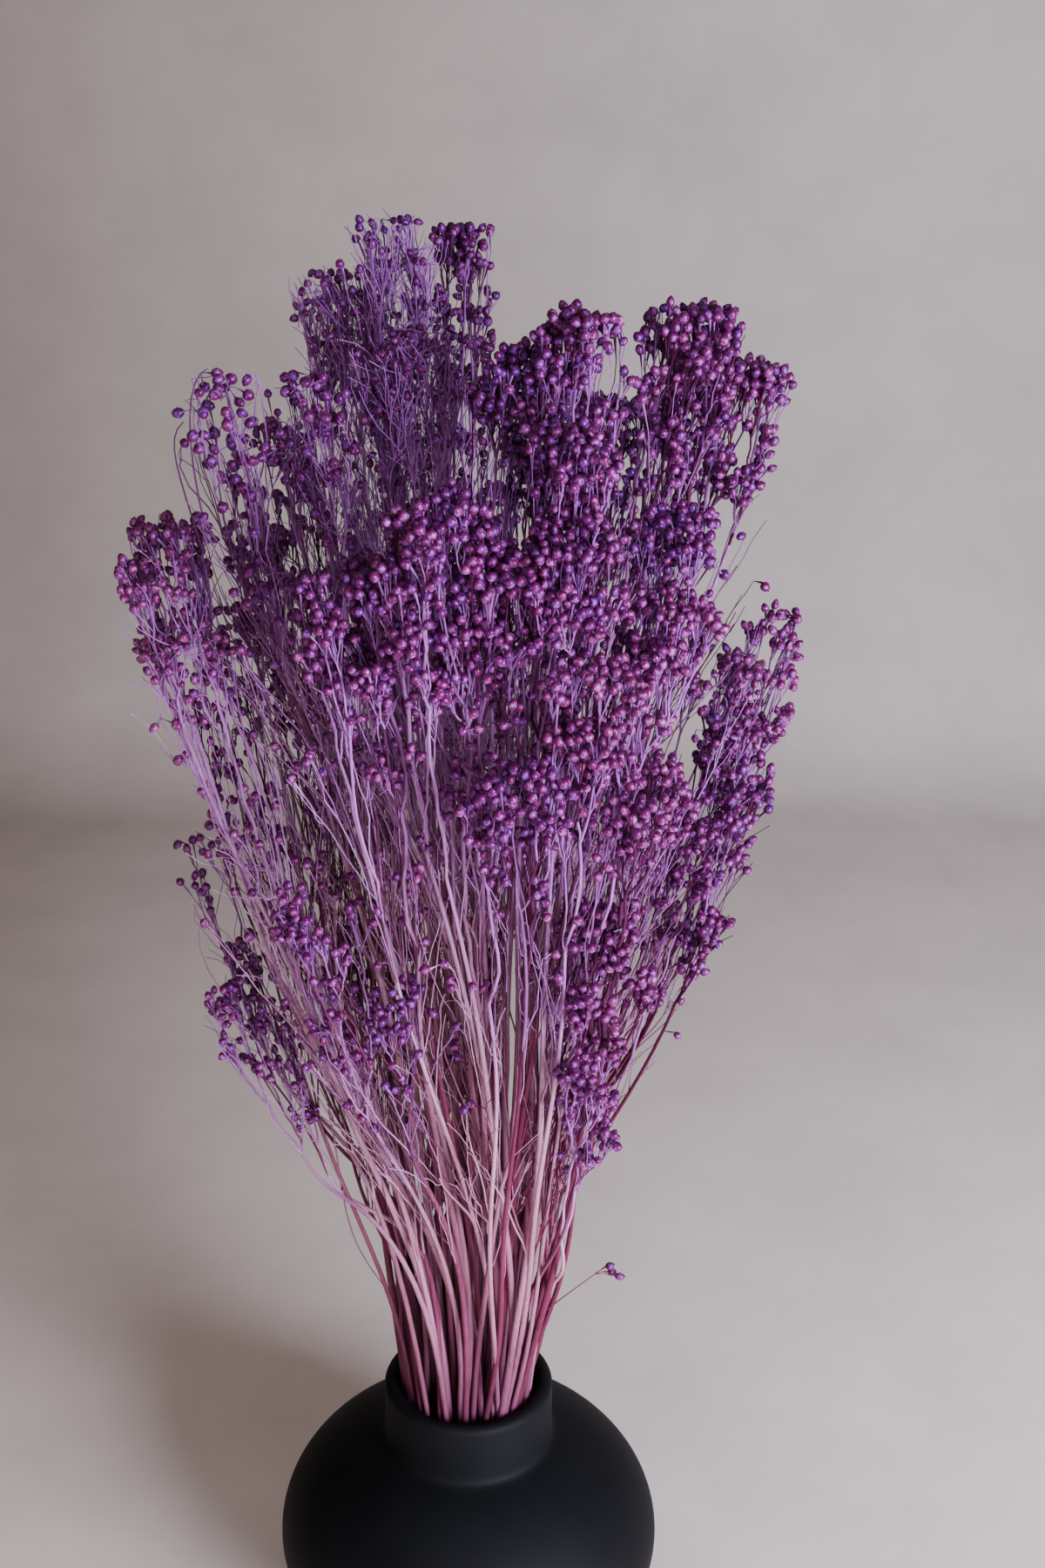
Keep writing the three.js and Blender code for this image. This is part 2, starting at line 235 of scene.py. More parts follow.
def paperBackdrop():
    # matt paper, warm white and faintly mottled, with painted shade that makes it greyer towards its back and
    # its left side, where less of the window's light falls
    look = {"mottle": 60 * mm, "near": 150 * mm, "far": 740 * mm, "side": 250 * mm}
    material = newMaterial("paperBackdrop")
    place = addNode(material, "ShaderNodeTexCoord")
    cloud = addNode(material, "ShaderNodeTexNoise", {
        "Vector": place.outputs["Object"], "Scale": 1 / look["mottle"], "Detail": 4, "Roughness": 0.6})
    spot = addNode(material, "ShaderNodeSeparateXYZ", {"Vector": place.outputs["Object"]})
    depth = addNode(material, "ShaderNodeMapRange", {
        "Value": spot.outputs["Y"], "From Min": look["near"], "From Max": look["far"]})
    # painted shade: palest at the front, greying towards the back as the window's light falls off
    paintedDepthShade = addNode(material, "ShaderNodeValToRGB", {"Fac": depth.outputs["Result"]}, stops=[
        (0.0, "#fdf4ec"), (0.7, "#cec7bf"), (0.88, "#cdc6bf"), (1.0, "#b0aaa3")])
    across = addNode(material, "ShaderNodeMapRange", {
        "Value": spot.outputs["X"], "From Min": -look["side"], "From Max": look["side"]})
    # painted shade and shadow: darker to the left, away from the window's light
    paintedSideShade = addNode(material, "ShaderNodeValToRGB", {"Fac": across.outputs["Result"]}, stops=[
        (0.0, "#d3ccc5"), (0.5, "#edebe8"), (1.0, 1.05)])
    mottle = addNode(material, "ShaderNodeValToRGB", {"Fac": cloud.outputs["Fac"]}, stops=[
        (0.3, 0.93), (0.7, 1.07)])
    paintedShade = addNode(material, "ShaderNodeMix", {
        "Factor": 1, "A": paintedDepthShade.outputs["Color"], "B": paintedSideShade.outputs["Color"]},
        data_type="RGBA", blend_type="MULTIPLY")
    colour = addNode(material, "ShaderNodeMix", {
        "Factor": 1, "A": paintedShade.outputs["Result"], "B": mottle.outputs["Color"]},
        data_type="RGBA", blend_type="MULTIPLY")
    return finishMaterial(material, **{"Base Color": colour.outputs["Result"], "Roughness": 0.95})


podMaterial = dyedSeedPod()
stemMaterial = dyedStem()
vaseMaterial = matteStoneware()
print("materials made")


# The vase, turned from its profile

vase = {
    "bodyRadius": 55, "bodyRise": 38.5, "footRadius": 30, "neckRadius": 24, "height": 85.5,
    "wall": 4.5, "floor": 5, "shoulderFillet": 4, "footEdge": 1.6, "steps": 96,
}


def vaseProfile():
    centre = vase["bodyRise"] * math.sqrt(1 - (vase["footRadius"] / vase["bodyRadius"]) ** 2)
    innerRadius = vase["bodyRadius"] - vase["wall"]
    innerRise = vase["bodyRise"] - vase["wall"]
    start = vase["neckRadius"] + vase["shoulderFillet"]

    def oval(radius, rise, low, high, count):
        angles = [low + (high - low) * i / count for i in range(count + 1)]
        return [(radius * math.cos(a), centre + rise * math.sin(a)) for a in angles]

    def shoulder(radius):
        return centre + vase["bodyRise"] * math.sqrt(1 - (radius / vase["bodyRadius"]) ** 2)

    footTurn = -math.acos(vase["footRadius"] / vase["bodyRadius"])
    outside = oval(vase["bodyRadius"], vase["bodyRise"], footTurn,
                   math.acos(start / vase["bodyRadius"]), 36)
    corner = Vector((vase["neckRadius"], 0, shoulder(vase["neckRadius"])))
    curve = interpolate_bezier(Vector((start, 0, shoulder(start))), corner, corner,
                               corner + Vector((0, 0, vase["shoulderFillet"])), 7)
    half = vase["wall"] / 2
    lip = [(vase["neckRadius"] - half + half * math.cos(a), vase["height"] - half + half * math.sin(a))
           for a in (math.pi * i / 12 for i in range(13))]
    inside = oval(innerRadius, innerRise, math.acos((vase["neckRadius"] - vase["wall"]) / innerRadius),
                  math.asin((vase["floor"] - centre) / innerRise), 20)
    foot = [(0, 0), (vase["footRadius"] - vase["footEdge"], 0)]
    return foot + outside[1:] + [(p.x, p.z) for p in curve[1:]] + lip + inside + [(0, vase["floor"])]


def makeVase():
    shape = bmesh.new()
    points = [shape.verts.new((x * mm, 0, z * mm)) for x, z in vaseProfile()]
    edges = [shape.edges.new(pair) for pair in zip(points, points[1:])]
    bmesh.ops.spin(shape, geom=points + edges, cent=(0, 0, 0), axis=(0, 0, 1), dvec=(0, 0, 0),
                   angle=2 * math.pi, steps=vase["steps"], use_merge=True)
    bmesh.ops.remove_doubles(shape, verts=shape.verts, dist=0.01 * mm)
    bmesh.ops.recalc_face_normals(shape, faces=shape.faces)
    mesh = bpy.data.meshes.new("vaseBody")
    shape.to_mesh(mesh)
    shape.free()
    piece = newObject("vaseBody", mesh, vaseMaterial)
    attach(piece, "root")
    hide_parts("vase")


makeVase()
print("vase made")


# The bunch: one head a spray, with its top, how far it reaches down the stem, its width, the tips
# that it may have, how much its twigs curl, and how much less dye than most its stems took; bare is
# the share of its tips with no pod where that isn't the usual one, and dust how much paler its pods are

heads = [
    {"top": (-2, 58, 400), "fall": 55, "width": 17, "pods": 285, "curl": 0.4, "fade": 0},
    {"top": (-19, 34, 407), "fall": 44, "width": 20, "pods": 200, "curl": 0.8, "fade": 0.2, "bare": 0.5},
    {"top": (-33, 45, 391), "fall": 38, "width": 19, "pods": 230, "curl": 0.8, "fade": 0.25, "bare": 0.5},
    {"top": (-14, 6, 384), "fall": 40, "width": 26, "pods": 420, "curl": 0.8, "fade": 0.25, "bare": 0.5},
    {"top": (-56, -20, 379), "fall": 38, "width": 18, "pods": 80, "curl": 1.3, "fade": 0.05, "bare": 0.4},
    {"top": (-38, -15, 378), "fall": 40, "width": 20, "pods": 160, "curl": 1.1, "fade": 0, "bare": 0.45},
    {"top": (-75, -10, 341), "fall": 40, "width": 30, "pods": 330, "curl": 0.4, "fade": 0.38, "dust": 0.15},
    {"top": (-54, 20, 330), "fall": 34, "width": 20, "pods": 125, "curl": 0.5, "fade": -0.2},
    {"top": (-74, 28, 244), "fall": 40, "width": 17, "pods": 85, "curl": 0.5, "fade": -0.05},
    {"top": (-62, 4, 213), "fall": 32, "width": 22, "pods": 115, "curl": 0.5, "fade": -0.05},
    {"top": (-39, -35, 262), "fall": 45, "width": 22, "pods": 135, "curl": 0.4, "fade": 0},
    {"top": (-18, -50, 240), "fall": 22, "width": 13, "pods": 40, "curl": 0.3, "fade": 0},
    {"top": (12, -24, 387), "fall": 54, "width": 20, "pods": 270, "curl": 0.3, "fade": -0.15, "dust": 0.05},
    {"top": (25, -30, 395), "fall": 50, "width": 23, "pods": 420, "curl": 0.2, "fade": -0.15},
    {"top": (51, -15, 394), "fall": 42, "width": 23, "pods": 400, "curl": 0.2, "fade": -0.15},
    {"top": (67, 0, 378), "fall": 42, "width": 18, "pods": 215, "curl": 0.2, "fade": -0.12, "dust": 0.1},
    {"top": (46, -40, 354), "fall": 26, "width": 17, "pods": 110, "curl": 0.2, "fade": -0.1},
    {"top": (-26, -60, 347), "fall": 40, "width": 24, "pods": 370, "curl": 0.2, "fade": -0.05},
    {"top": (-8, -70, 365), "fall": 48, "width": 26, "pods": 565, "curl": 0.2, "fade": -0.15},
    {"top": (7, -68, 352), "fall": 34, "width": 20, "pods": 235, "curl": 0.2, "fade": -0.15, "dust": 0.15},
    {"top": (22, -68, 356), "fall": 32, "width": 24, "pods": 300, "curl": 0.2, "fade": -0.15, "dust": 0.15},
    {"top": (44, -55, 338), "fall": 28, "width": 23, "pods": 210, "curl": 0.2, "fade": -0.1, "dust": 0.2},
    {"top": (28, -75, 330), "fall": 30, "width": 26, "pods": 275, "curl": 0.2, "fade": -0.1, "dust": 0.2},
    {"top": (33, -70, 307), "fall": 26, "width": 29, "pods": 215, "curl": 0.2, "fade": -0.1, "dust": 0.2},
    {"top": (11, -78, 308), "fall": 28, "width": 24, "pods": 180, "curl": 0.2, "fade": -0.1},
    {"top": (80, 0, 316), "fall": 38, "width": 22, "pods": 180, "curl": 0.4, "fade": 0.05, "dust": 0.2},
    {"top": (68, -15, 293), "fall": 32, "width": 22, "pods": 170, "curl": 0.2, "fade": -0.25},
    {"top": (63, -25, 274), "fall": 40, "width": 22, "pods": 210, "curl": 0.2, "fade": -0.25},
    {"top": (73, 50, 288), "fall": 30, "width": 22, "pods": 140, "curl": 0.4, "fade": 0},
    {"top": (44, -50, 292), "fall": 22, "width": 22, "pods": 105, "curl": 0.2, "fade": -0.2, "dust": 0.15},
    {"top": (32, -60, 264), "fall": 38, "width": 25, "pods": 245, "curl": 0.3, "fade": -0.2},
    {"top": (31, -60, 228), "fall": 34, "width": 19, "pods": 115, "curl": 0.3, "fade": 0},
    {"top": (22, -52, 374), "fall": 34, "width": 20, "pods": 260, "curl": 0.2, "fade": -0.1, "dust": 0.15},
    {"top": (35, 52, 358), "fall": 52, "width": 26, "pods": 330, "curl": 0.3, "fade": -0.25},
    {"top": (57, 35, 368), "fall": 48, "width": 24, "pods": 230, "curl": 0.3, "fade": -0.25},
    {"top": (-52, 52, 352), "fall": 66, "width": 26, "pods": 320, "curl": 0.5, "fade": -0.3},
    {"top": (10, 82, 350), "fall": 76, "width": 28, "pods": 415, "curl": 0.4, "fade": -0.3},
    {"top": (45, 70, 330), "fall": 66, "width": 26, "pods": 230, "curl": 0.3, "fade": -0.3},
    {"top": (-25, 78, 330), "fall": 72, "width": 28, "pods": 270, "curl": 0.4, "fade": -0.3},
    {"top": (-68, 40, 300), "fall": 60, "width": 24, "pods": 170, "curl": 0.5, "fade": -0.3},
    {"top": (20, 72, 268), "fall": 60, "width": 26, "pods": 170, "curl": 0.3, "fade": -0.3},
    {"top": (-35, 62, 262), "fall": 62, "width": 26, "pods": 180, "curl": 0.4, "fade": -0.3},
    {"top": (54, 56, 242), "fall": 56, "width": 24, "pods": 140, "curl": 0.3, "fade": -0.3},
]

strays = [
    {"spray": 5, "route": [(-61, -15, 340), (-65, -15, 360), (-63, -15, 378), (-59, -15, 379)], "thick": 0.3,
     "tone": 1, "pods": [(-57, -15, 378), (-60, -14, 374.5)]},
    {"spray": 5, "route": [(-62, -16, 336), (-66, -16, 352), (-69, -16, 364), (-65, -16, 367)], "thick": 0.26,
     "tone": 0, "pods": []},
    {"spray": 9, "route": [(-38, 0, 176), (-34, 0, 148), (-34, 0, 132), (-23.5, 0, 116)], "thick": 0.3,
     "tone": 1, "pods": []},
    {"spray": 24, "route": [(16, -19, 172), (16, -20, 196), (11, -22, 214), (5, -24, 238)], "thick": 0.34,
     "tone": 1, "pods": []},
    {"spray": 11, "route": [(9, -16, 158), (10, -18, 180), (14, -20, 200), (18, -24, 226)], "thick": 0.26,
     "tone": 2, "pods": []},
    {"spray": 28, "route": [(22, -10, 116), (27, -10, 121), (33, -10, 126), (36, -10, 129)], "thick": 0.26,
     "tone": 1, "pods": [(38.7, -10, 130.5), (41.5, -10, 127), (39.5, -8, 127)]},
]

neckRings = {
    "shares": [1, 0.71, 0.42, 0.15], "counts": [19, 13, 8, 3], "lipGap": 0.5, "stemRadius": 1.2,
    "footSpread": 0.6, "seatGap": 0.3, "twist": 1.0, "spread": 4.0, "askew": 1.0, "first": (0.3, 0.25),
}


def placesInNeck():
    ringRadius = vase["neckRadius"] - vase["wall"] - neckRings["lipGap"] - neckRings["stemRadius"]
    lean = [math.hypot(*h["top"][:2]) / (h["top"][2] - vase["height"]) for h in heads]
    bearing = [math.atan2(h["top"][1], h["top"][0]) for h in heads]
    byLean = sorted(range(len(heads)), key=lambda i: -lean[i])
    places = {}
    for share, count in zip(neckRings["shares"], neckRings["counts"]):
        members = sorted(byLean[:count], key=lambda i: bearing[i])
        byLean = byLean[count:]
        turns = [2 * math.pi * k / len(members) for k in range(len(members))]
        drift = sum(bearing[i] - turn for i, turn in zip(members, turns)) / len(members)
        for i, turn in zip(members, turns):
            turn += drift + neckRings["twist"]  # the stems cross a little, as in a hand-tied bunch
            places[i] = Vector((math.cos(turn), math.sin(turn), 0)) * share * ringRadius
    return places


climbs = {"least": 0.3, "left": 0.15, "farLeft": 60, "low": 0.25, "lowTop": 260}


def climbOf(top):
    # how far a stem keeps its first direction above the neck, as a share of its reach: those of
    # the low heads and of the heads to the left turn out later
    left = min(1, max(0, -top[0] / climbs["farLeft"]))
    late = climbs["low"] * (1 + left) if top[2] < climbs["lowTop"] else 0
    return climbs["least"] + climbs["left"] * left + late


def pointAlong(line, share):
    # the point and direction at a share of the way along a line of points
    place = min(max(share, 0), 0.9999) * (len(line) - 1)
    i = int(place)
    return line[i].lerp(line[i + 1], place - i), (line[i + 1] - line[i]).normalized()


def sideways(direction, turn):
    # square to a direction, towards the side given by turn
    side = direction.orthogonal().normalized()
    return side * math.cos(turn) + direction.cross(side) * math.sin(turn)


# lengths and radii in mm; a head that curls less than calm has straight twigs
twigs = {
    "tipRadius": 0.145, "growth": 0.25, "stemRadius": (0.6, 1.2), "stemGrowth": 1.7, "taper": 0.97,
    "calyx": 0.38, "calm": 0.3, "droop": 0.65, "step": 9, "handle": 0.36, "hook": 6, "kink": 0.4,
    "sway": 2.4, "forkReach": 4.6, "forkSpread": 0.5, "firstFork": 1.35, "umbelFork": 0.6, "rise": 0.6,
    "bend": 0.15, "curlBend": 0.4, "lean": (0.25, 0.75), "newTone": 0.25, "moreStems": (60, 150, 260),
    "stemTips": 40, "stemTaper": 1.5,
}


def arched(start, leave, end, arrive, draw):
    # a smooth twig from start to end, with the small kinks of a dried one
    reach = (end - start).length
    count = 3 if reach < twigs["step"] else min(14, 3 + round(reach / twigs["step"]))
    turn = (end - start).normalized().dot(arrive)
    hook = reach * twigs["handle"]
    if turn <= 0.4:
        hook = min(hook, twigs["hook"])
    leaving = start + leave * reach * twigs["handle"]
    line = interpolate_bezier(start, leaving, end - arrive * hook, end, count)
    kink = twigs["kink"] * min(1, reach / 20)
    for point in line[1:-1]:
        point += Vector([draw.uniform(-kink, kink) for _ in range(3)])
    return line


low, high = [[c / mm for c in corner] for corner in cadBox]


def isInside(centre, room):
    return all(low[k] + room < centre[k] < high[k] - room for k in range(3))


outer = {"least": 14, "wider": 64, "over": 190, "narrower": 0.5, "above": 335}


def reachAt(height):
    # how far from the bunch's middle its loose twigs go at a height
    wider = outer["wider"] * min(1, max(0, height - vase["height"]) / outer["over"])
    return outer["least"] + wider - outer["narrower"] * max(0, height - outer["above"])


# narrow gaps between the stems, set out as the camera sees them
sight = {"distance": 504, "slope": 0.65}
partings = [
    {"x": 11.6, "half": 1.5, "low": 156, "high": 240},
    {"x": 18.8, "half": 0.8, "low": 160, "high": 212},
]


def pastParting(point, parting):
    # how far a point is to the right of a gap between the stems, and half the gap's width there
    seen = point.z + sight["slope"] * point.y
    share = (seen - parting["low"]) / (parting["high"] - parting["low"])
    room = parting["half"] * math.sin(math.pi * share) if 0 < share < 1 else 0
    return point.x - parting["x"] * (1 + point.y / sight["distance"]), room


def partLine(line):
    # leans a twig to one side of each gap
    for parting in partings:
        places = [pastParting(point, parting) for point in line]
        near = [past for past, room in places if room]
        side = 1 if sum(near) > 0 else -1
        for point, (past, room) in zip(line, places):
            if room and past * side < room:
                point.x += side * room - past


# a pod's size and shape, the tones of dye in its spray, and where pods are painted paler, as painted light
# that lifts those deeper in the bunch's shade
pod = {
    "radius": 1.25, "height": 1.34, "tip": 0.22, "rib": 0.05, "belly": 0.08, "sides": 7, "rings": 4,
    "spacing": 2.1, "widths": (0.82, 1.12), "lengths": (0.85, 1.1), "spin": 6.28, "tone": (0.42, 0.2),
    "sprayTone": 0.08, "undyed": 0.004, "undyedBelow": 290, "paintedLift": 0.15, "paintedLiftBelow": 345,
}
podGrid = {}


def podFits(centre):
    # true where a pod is clear of the gaps and of the pods already there
    for parting in partings:
        past, room = pastParting(centre, parting)
        if room and abs(past) < room + pod["radius"]:
            return False
    cell = [int(c // pod["spacing"]) for c in centre]
    for i, j, k in product((-1, 0, 1), repeat=3):
        near = podGrid.get((cell[0] + i, cell[1] + j, cell[2] + k), ())
        if any((centre - other).length < pod["spacing"] for other in near):
            return False
    podGrid.setdefault(tuple(cell), []).append(centre)
    return True


# clusters of tips: some, by the shares stray and low, are further down the stem
umbel = {
    "radius": 3.1, "scatter": 0.42, "most": 9, "bare": 0.06, "looseBare": 0.6, "stray": 0.11,
    "strayFall": 0.7, "low": 0.08, "lowFall": 1.1, "lowBare": 0.6, "lowest": 165, "topHeavy": 1.3,
    "outward": 0.4,
}
dome = {"foot": 0.6, "shoulder": 0.7, "narrow": 0.75, "narrowest": 0.95}


def looseness(curl):
    # how much further a head's twigs curl than those that stand straight
    return max(0, curl - twigs["calm"])


def headShape(share, loose):
    # the head's width, as a share of its widest, from its foot at 0 to its top at 1, which is
    # domed, and narrower on a loose head
    foot, shoulder = dome["foot"], dome["shoulder"]
    if share < shoulder:
        return foot + (1 - foot) * math.sin(math.pi / 2 * max(share, 0) / shoulder)
    past = (share - shoulder) / (1 - shoulder)
    return math.sqrt(1 - min(dome["narrowest"], dome["narrow"] + loose) * past ** 2)


def tipsOfHead(head, guide, draw):
    # twig tips in small umbels that fill the head, closest at its top, with a few strays further
    # down the stem; each tip is a place and whether it has a pod
    tips = []
    length = sum((b - a).length for a, b in zip(guide, guide[1:]))
    loose = looseness(head["curl"])
    for cluster in range(head["pods"]):
        if len(tips) >= head["pods"]:
            break
        kind = draw.random()
        share = 1 - draw.random() ** umbel["topHeavy"]
        bare = head.get("bare", umbel["bare"] + umbel["looseBare"] * loose)
        count = draw.randint(3, umbel["most"] - round(6 * loose))
        if kind < umbel["low"]:
            share = -umbel["strayFall"] - umbel["lowFall"] * draw.random()
            count = draw.randint(1, 3)
            bare = umbel["lowBare"]
        elif kind < umbel["low"] + umbel["stray"]:
            share = -umbel["strayFall"] * draw.random()
            count = draw.randint(1, 5)
        down = head["fall"] * (1 - share) + pod["height"] * 1.2
        place, way = pointAlong(guide, 1 - down / length)
        out = head["width"] / 2 * headShape(share, loose) * draw.random() ** umbel["outward"]
        middle = place + sideways(way, draw.uniform(0, fullTurn)) * out
        if middle.z < umbel["lowest"]:
            continue
        filled = 0
        for attempt in range(4 * count):
            step = Vector([draw.gauss(0, umbel["scatter"]) for _ in range(3)])
            step = step * umbel["radius"] * (1 + loose)
            rise = (middle + step - guide[-1]).dot(way)
            centre = middle + step - way * max(0, rise + pod["height"])
            isBare = draw.random() < bare
            if filled < count and isInside(centre, pod["height"] * 1.5) and (isBare or podFits(centre)):
                tips.append((centre, not isBare))
                filled += 1
    return tips


def radiusFor(count):
    return twigs["tipRadius"] * count ** twigs["growth"]


def growPedicel(start, heading, tip, axis, curl, spray, tone, draw):
    # the last twig, which ends in a pod or is bare
    centre, hasPod = tip
    way = (centre - start).normalized()
    out = (way - axis * way.dot(axis)) * 1.2
    arrive = (way + out + Vector([draw.uniform(-0.35, 0.35) for _ in range(3)])).normalized()
    if draw.random() < looseness(curl) * twigs["droop"]:
        arrive = (out.normalized() * 0.9 - axis * draw.uniform(0.2, 0.9)).normalized()
    end = centre - arrive * pod["height"] * 0.8 if hasPod else centre
    line = arched(start, heading, end, arrive, draw)
    thick = radiusFor(1)
    swell = twigs["calyx"] if hasPod else 0
    spray["lines"].append((line, thick, thick * 0.85, swell, 1, tone))
    if hasPod:
        spray["pods"].append((centre, arrive))


def apart(a, b, axis):
    # how far apart two places are, where a step along the axis counts for less
    step = a - b
    up = step.dot(axis)
    return (step - axis * up).length + abs(up) * 0.3


def growFork(start, heading, tips, axis, curl, spray, tone, draw, path=None, stout=0):
    # a twig that parts in two again and again, until each ends in an umbel
    if draw.random() < twigs["newTone"]:
        tone = draw.randrange(3)
    count = len(tips)
    if count == 1 and not path:
        growPedicel(start, heading, tips[0], axis, curl, spray, tone, draw)
        return
    middle = sum((t[0] for t in tips), Vector()) / count
    steps = [t[0] - middle for t in tips]
    ups = [s.dot(axis) for s in steps]
    sides = [(s - axis * u).length for s, u in zip(steps, ups)]
    spread = math.sqrt(sum(d * d for d in sides) / count) + 0.12 * sum(abs(u) for u in ups) / count
    isUmbel = count <= umbel["most"] and max(s.length for s in steps) < umbel["radius"] * (1.5 + curl)
    reach = twigs["forkReach"] * (1 + twigs["forkSpread"] * draw.uniform(-1, 1)) * spread
    reach *= twigs["umbelFork"] if isUmbel else twigs["firstFork"] if path else 1
    reach = max(reach, 1 - min(u - 1.2 * d for u, d in zip(ups, sides)))
    way = ((middle - start).normalized() + axis * twigs["rise"]).normalized()
    bend = twigs["bend"] + twigs["curlBend"] * looseness(curl)
    arrive = (way + sideways(way, draw.uniform(0, fullTurn)) * bend).normalized()
    if isUmbel and not path and draw.random() < looseness(curl) * twigs["droop"]:
        # a dried twig that has bent over and hangs its pods
        out = way - axis * way.dot(axis) + sideways(axis, draw.uniform(0, fullTurn)) * 0.3
        out.normalize()
        arrive = way = (out * 0.8 - axis * draw.uniform(0.1, 0.8)).normalized()
        reach = 1.2 + 0.6 * spread
    knot = middle - way * min(reach, (middle - start).length * 0.86)
    line = path(knot, arrive) if path else arched(start, heading, knot, arrive, draw)
    thick = radiusFor(count)
    base = max(thick, stout)
    if path:
        least, most = twigs["stemRadius"]
        base = min(most, max(draw.uniform(least, most), thick * twigs["stemGrowth"]))
    spray["lines"].append((line, base, thick * twigs["taper"], 0, count, tone))
    if isUmbel:
        for tip in tips:
            at, along = pointAlong(line, 1 if path else draw.uniform(0.75, 1))
            lean = tip[0] - at
            lean = (lean - along * lean.dot(along)).normalized()
            growPedicel(at, (along + lean * 0.7).normalized(), tip, axis, curl, spray, tone, draw)
        return
    far = max(tips, key=lambda t: apart(t[0], middle, axis) * draw.uniform(0.7, 1))[0]
    other = max(tips, key=lambda t: apart(t[0], far, axis))[0]
    parts = ([], [])
    for tip in tips:
        parts[apart(tip[0], far, axis) > apart(tip[0], other, axis)].append(tip)
    if not parts[0] or not parts[1]:
        parts = (tips[:count // 2], tips[count // 2:])
    for part in parts:
        centre = sum((t[0] for t in part), Vector()) / len(part)
        lean = centre - knot
        lean = (lean - arrive * lean.dot(arrive)).normalized() * draw.uniform(*twigs["lean"])
        growFork(knot, (arrive + lean).normalized(), part, axis, curl, spray, tone, draw)


shoots = {
    "count": 15, "from": 0.2, "along": 0.72, "length": (25, 95), "lean": (0.05, 0.42), "tips": (1, 3),
    "bare": 0.55, "spread": 2.6, "lowest": 205, "stout": (0.15, 0.6), "start": 132, "under": 5,
}


def growShoots(line, number, head, spray, draw):
    # long hair-fine side twigs along a stem, many of them bare, which fill the bunch below its heads
    loose = looseness(head["curl"])
    for k in range(number):
        share = shoots["from"] + shoots["along"] * draw.random() ** (1 / (1 + 2 * loose))
        at, along = pointAlong(line, share)
        if at.z < shoots["start"]:
            continue
        side = sideways(along, draw.uniform(0, fullTurn))
        heading = (along + side * draw.uniform(*shoots["lean"])).normalized()
        middle = at + heading * draw.uniform(*shoots["length"])
        isOut = math.hypot(middle.x, middle.y) > reachAt(middle.z)
        if isOut or middle.z > head["top"][2] - shoots["under"]:
            continue
        tips = []
        for n in range(draw.randint(*shoots["tips"])):
            centre = middle + Vector([draw.gauss(0, 1) for _ in range(3)]) * shoots["spread"]
            isBare = draw.random() < shoots["bare"] or centre.z < shoots["lowest"]
            if isInside(centre, pod["height"] * 1.5) and (isBare or podFits(centre)):
                tips.append((centre, not isBare))
        if tips:
            stout = draw.uniform(*shoots["stout"]) * (1.2 - share)
            growFork(at, heading, tips, heading, 0.5, spray, draw.randrange(3), draw, stout=stout)


hair = {
    "sprays": {2: 460, 3: 620, 4: 660, 6: 120, 7: 120, 8: 160, 9: 60, 10: 60, 36: 80},
    "length": (7, 30), "lean": (0.05, 0.75), "bow": 0.7, "radius": 0.16, "reach": 0.72,
}


def growHair(number, axis, head, spray, draw):
    # hair-fine bare twigs that stand off the twigs of a head
    roots = [line[0][-6:] for line in spray["lines"] if line[4] > 1]
    for k in range(number):
        at, along = pointAlong(draw.choice(roots), draw.uniform(0.2, 1))
        side = sideways(along, draw.uniform(0, fullTurn))
        heading = (along + side * draw.uniform(*hair["lean"])).normalized()
        end = at + heading * draw.uniform(*hair["length"])
        arrive = (heading + sideways(heading, draw.uniform(0, fullTurn)) * hair["bow"]).normalized()
        out = (end - Vector(head["top"])).cross(axis).length
        if isInside(end, 1) and out < head["width"] * hair["reach"] and end.z < head["top"][2]:
            line = arched(at, along, end, arrive, draw)
            spray["lines"].append((line, hair["radius"], hair["radius"] * 0.7, 0, 1, 2))


def growStray(stray, spray, draw):
    # one twig that stands or hangs clear of its head, along a route of its own
    line = [Vector(point) for point in stray["route"]]
    leaving, arriving = line[0].lerp(line[1], 1.2), line[-1].lerp(line[-2], 1.2)
    line = interpolate_bezier(line[0], leaving, arriving, line[-1], 9)
    spray["lines"].append((line, stray["thick"], stray["thick"] * 0.6, 0, 1, stray["tone"]))
    for tip in stray["pods"]:
        growPedicel(line[-2], (line[-1] - line[-2]).normalized(), (Vector(tip), True),
                    Vector((0, 0, 1)), 0, spray, stray["tone"], draw)


seeds = {"twigs": 400, "pods": 900}


